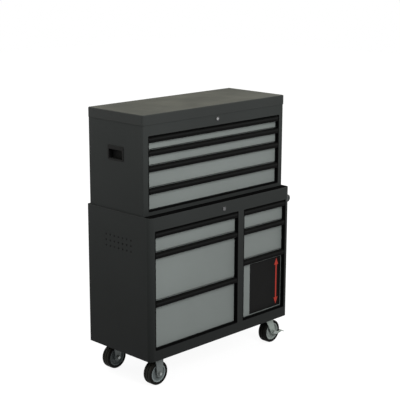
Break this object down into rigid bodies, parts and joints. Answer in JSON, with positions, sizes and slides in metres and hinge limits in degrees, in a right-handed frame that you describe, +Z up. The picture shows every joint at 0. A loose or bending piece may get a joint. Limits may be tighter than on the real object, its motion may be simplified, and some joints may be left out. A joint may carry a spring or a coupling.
{
  "type": "rolling tool chest",
  "caption": "Rolling steel tool storage: a wide drawer cabinet on casters with a lidded drawer chest on top, full-width pulls and a side push handle.",
  "frame": {"origin": "middle of the underside of the whole object's box, on the floor under the casters", "axes": "+Z up, -Y toward the drawer fronts, +X toward the push handle"},
  "size_m": [1.107, 0.473, 1.395],
  "materials": {
    "black_paint": "semi-gloss powder coat",
    "grey_paint": "satin powder coat",
    "black_pull": "matt black coated pull",
    "black_plastic": "grained moulding",
    "zinc_steel": "bright zinc plate",
    "chrome": "polished",
    "tyre_rubber": "smooth moulded rubber",
    "grey_plastic": "moulded wheel centre"
  },
  "bodies": {
    "carcass": {"cabinet_shell": "black_paint", "cabinet_front_frame": "black_paint", "cabinet_pans": "black_paint", "cabinet_divider": "black_paint", "chest_shell": "black_paint", "chest_front_frame": "black_paint", "chest_floors": "black_paint", "slide_rails": "zinc_steel", "lid_hinge": "zinc_steel", "chest_grips": "black_plastic", "push_handle": "black_paint", "lock_housings": "chrome", "rigid_caster_brackets": "zinc_steel", "swivel_caster_plates": "zinc_steel", "caster_bolts": "zinc_steel"},
    "lid": {"chest_lid": "black_paint"},
    "chest_lock": {"chest_lock_plug": "chrome"},
    "cabinet_lock": {"cabinet_lock_plug": "chrome"},
    "chest_drawer_1": {"chest_drawer_1": "grey_paint", "chest_pull_1": "black_pull"},
    "chest_slide_1": {"chest_slide_1": "zinc_steel"},
    "chest_drawer_2": {"chest_drawer_2": "grey_paint", "chest_pull_2": "black_pull"},
    "chest_slide_2": {"chest_slide_2": "zinc_steel"},
    "chest_drawer_3": {"chest_drawer_3": "grey_paint", "chest_pull_3": "black_pull"},
    "chest_slide_3": {"chest_slide_3": "zinc_steel"},
    "chest_drawer_4": {"chest_drawer_4": "grey_paint", "chest_pull_4": "black_pull"},
    "chest_slide_4": {"chest_slide_4": "zinc_steel"},
    "left_drawer_1": {"left_drawer_1": "grey_paint", "left_pull_1": "black_pull"},
    "left_slide_1": {"left_slide_1": "zinc_steel"},
    "left_drawer_2": {"left_drawer_2": "grey_paint", "left_pull_2": "black_pull"},
    "left_slide_2": {"left_slide_2": "zinc_steel"},
    "left_drawer_3": {"left_drawer_3": "grey_paint", "left_pull_3": "black_pull"},
    "left_slide_3": {"left_slide_3": "zinc_steel"},
    "right_drawer_1": {"right_drawer_1": "grey_paint", "right_pull_1": "black_pull"},
    "right_slide_1": {"right_slide_1": "zinc_steel"},
    "right_drawer_2": {"right_drawer_2": "grey_paint", "right_pull_2": "black_pull"},
    "right_slide_2": {"right_slide_2": "zinc_steel"},
    "right_drawer_3": {"right_drawer_3": "grey_paint", "right_pull_3": "black_pull"},
    "right_slide_3": {"right_slide_3": "zinc_steel"},
    "swivel_fork_front": {"swivel_fork_front": "zinc_steel"},
    "brake_lever_front": {"brake_lever_front": "zinc_steel"},
    "wheel_front_left": {"tyre_front_left": "tyre_rubber", "hub_front_left": "grey_plastic"},
    "wheel_front_right": {"tyre_front_right": "tyre_rubber", "hub_front_right": "grey_plastic"},
    "swivel_fork_rear": {"swivel_fork_rear": "zinc_steel"},
    "brake_lever_rear": {"brake_lever_rear": "zinc_steel"},
    "wheel_rear_left": {"tyre_rear_left": "tyre_rubber", "hub_rear_left": "grey_plastic"},
    "wheel_rear_right": {"tyre_rear_right": "tyre_rubber", "hub_rear_right": "grey_plastic"}
  },
  "joints": [
    {"name": "lid_hinge_turn", "type": "hinge", "parent": "carcass", "child": "lid", "pos_m": [-0.033, 0.2288, 1.345], "axis": [-1, 0, 0], "range_deg": [0, 80]},
    {"name": "chest_lock_turn", "type": "hinge", "parent": "carcass", "child": "chest_lock", "pos_m": [-0.033, -0.1815, 1.323], "axis": [0, 1, 0], "range_deg": [0, 90]},
    {"name": "cabinet_lock_turn", "type": "hinge", "parent": "carcass", "child": "cabinet_lock", "pos_m": [-0.033, -0.2335, 0.8605], "axis": [0, 1, 0], "range_deg": [0, 90]},
    {"name": "chest_drawer_1_slide", "type": "slide", "parent": "carcass", "child": "chest_drawer_1", "axis": [0, -1, 0], "range_m": [0, 0.35]},
    {"name": "chest_slide_1_slide", "type": "slide", "parent": "carcass", "child": "chest_slide_1", "axis": [0, -1, 0], "range_m": [0, 0.175]},
    {"name": "chest_drawer_2_slide", "type": "slide", "parent": "carcass", "child": "chest_drawer_2", "axis": [0, -1, 0], "range_m": [0, 0.35]},
    {"name": "chest_slide_2_slide", "type": "slide", "parent": "carcass", "child": "chest_slide_2", "axis": [0, -1, 0], "range_m": [0, 0.175]},
    {"name": "chest_drawer_3_slide", "type": "slide", "parent": "carcass", "child": "chest_drawer_3", "axis": [0, -1, 0], "range_m": [0, 0.35]},
    {"name": "chest_slide_3_slide", "type": "slide", "parent": "carcass", "child": "chest_slide_3", "axis": [0, -1, 0], "range_m": [0, 0.175]},
    {"name": "chest_drawer_4_slide", "type": "slide", "parent": "carcass", "child": "chest_drawer_4", "axis": [0, -1, 0], "range_m": [0, 0.35]},
    {"name": "chest_slide_4_slide", "type": "slide", "parent": "carcass", "child": "chest_slide_4", "axis": [0, -1, 0], "range_m": [0, 0.175]},
    {"name": "left_drawer_1_slide", "type": "slide", "parent": "carcass", "child": "left_drawer_1", "axis": [0, -1, 0], "range_m": [0, 0.4]},
    {"name": "left_slide_1_slide", "type": "slide", "parent": "carcass", "child": "left_slide_1", "axis": [0, -1, 0], "range_m": [0, 0.2]},
    {"name": "left_drawer_2_slide", "type": "slide", "parent": "carcass", "child": "left_drawer_2", "axis": [0, -1, 0], "range_m": [0, 0.4]},
    {"name": "left_slide_2_slide", "type": "slide", "parent": "carcass", "child": "left_slide_2", "axis": [0, -1, 0], "range_m": [0, 0.2]},
    {"name": "left_drawer_3_slide", "type": "slide", "parent": "carcass", "child": "left_drawer_3", "axis": [0, -1, 0], "range_m": [0, 0.4]},
    {"name": "left_slide_3_slide", "type": "slide", "parent": "carcass", "child": "left_slide_3", "axis": [0, -1, 0], "range_m": [0, 0.2]},
    {"name": "right_drawer_1_slide", "type": "slide", "parent": "carcass", "child": "right_drawer_1", "axis": [0, -1, 0], "range_m": [0, 0.4]},
    {"name": "right_slide_1_slide", "type": "slide", "parent": "carcass", "child": "right_slide_1", "axis": [0, -1, 0], "range_m": [0, 0.2]},
    {"name": "right_drawer_2_slide", "type": "slide", "parent": "carcass", "child": "right_drawer_2", "axis": [0, -1, 0], "range_m": [0, 0.4]},
    {"name": "right_slide_2_slide", "type": "slide", "parent": "carcass", "child": "right_slide_2", "axis": [0, -1, 0], "range_m": [0, 0.2]},
    {"name": "right_drawer_3_slide", "type": "slide", "parent": "carcass", "child": "right_drawer_3", "axis": [0, -1, 0], "range_m": [0, 0.4]},
    {"name": "right_slide_3_slide", "type": "slide", "parent": "carcass", "child": "right_slide_3", "axis": [0, -1, 0], "range_m": [0, 0.2]},
    {"name": "swivel_fork_front_turn", "type": "hinge", "parent": "carcass", "child": "swivel_fork_front", "pos_m": [0.3875, -0.1585, 0.1426], "axis": [0, 0, 1], "continuous": true},
    {"name": "brake_lever_front_press", "type": "hinge", "parent": "swivel_fork_front", "child": "brake_lever_front", "pos_m": [0.4215, -0.1585, 0.0635], "axis": [0, 1, 0], "range_deg": [0, 8]},
    {"name": "wheel_front_left_roll", "type": "hinge", "parent": "carcass", "child": "wheel_front_left", "pos_m": [-0.4535, -0.1585, 0.0635], "axis": [0, 1, 0], "continuous": true},
    {"name": "wheel_front_right_roll", "type": "hinge", "parent": "swivel_fork_front", "child": "wheel_front_right", "pos_m": [0.4215, -0.1585, 0.0635], "axis": [0, 1, 0], "continuous": true},
    {"name": "swivel_fork_rear_turn", "type": "hinge", "parent": "carcass", "child": "swivel_fork_rear", "pos_m": [0.3875, 0.1615, 0.1426], "axis": [0, 0, 1], "continuous": true},
    {"name": "brake_lever_rear_press", "type": "hinge", "parent": "swivel_fork_rear", "child": "brake_lever_rear", "pos_m": [0.4215, 0.1615, 0.0635], "axis": [0, 1, 0], "range_deg": [0, 8]},
    {"name": "wheel_rear_left_roll", "type": "hinge", "parent": "carcass", "child": "wheel_rear_left", "pos_m": [-0.4535, 0.1615, 0.0635], "axis": [0, 1, 0], "continuous": true},
    {"name": "wheel_rear_right_roll", "type": "hinge", "parent": "swivel_fork_rear", "child": "wheel_rear_right", "pos_m": [0.4215, 0.1615, 0.0635], "axis": [0, 1, 0], "continuous": true}
  ],
  "couplings": [
    {"joint": "chest_slide_1_slide", "follows": "chest_drawer_1_slide", "ratio": 0.5},
    {"joint": "chest_slide_2_slide", "follows": "chest_drawer_2_slide", "ratio": 0.5},
    {"joint": "chest_slide_3_slide", "follows": "chest_drawer_3_slide", "ratio": 0.5},
    {"joint": "chest_slide_4_slide", "follows": "chest_drawer_4_slide", "ratio": 0.5},
    {"joint": "left_slide_1_slide", "follows": "left_drawer_1_slide", "ratio": 0.5},
    {"joint": "left_slide_2_slide", "follows": "left_drawer_2_slide", "ratio": 0.5},
    {"joint": "left_slide_3_slide", "follows": "left_drawer_3_slide", "ratio": 0.5},
    {"joint": "right_slide_1_slide", "follows": "right_drawer_1_slide", "ratio": 0.5},
    {"joint": "right_slide_2_slide", "follows": "right_drawer_2_slide", "ratio": 0.5},
    {"joint": "right_slide_3_slide", "follows": "right_drawer_3_slide", "ratio": 0.5}
  ]
}
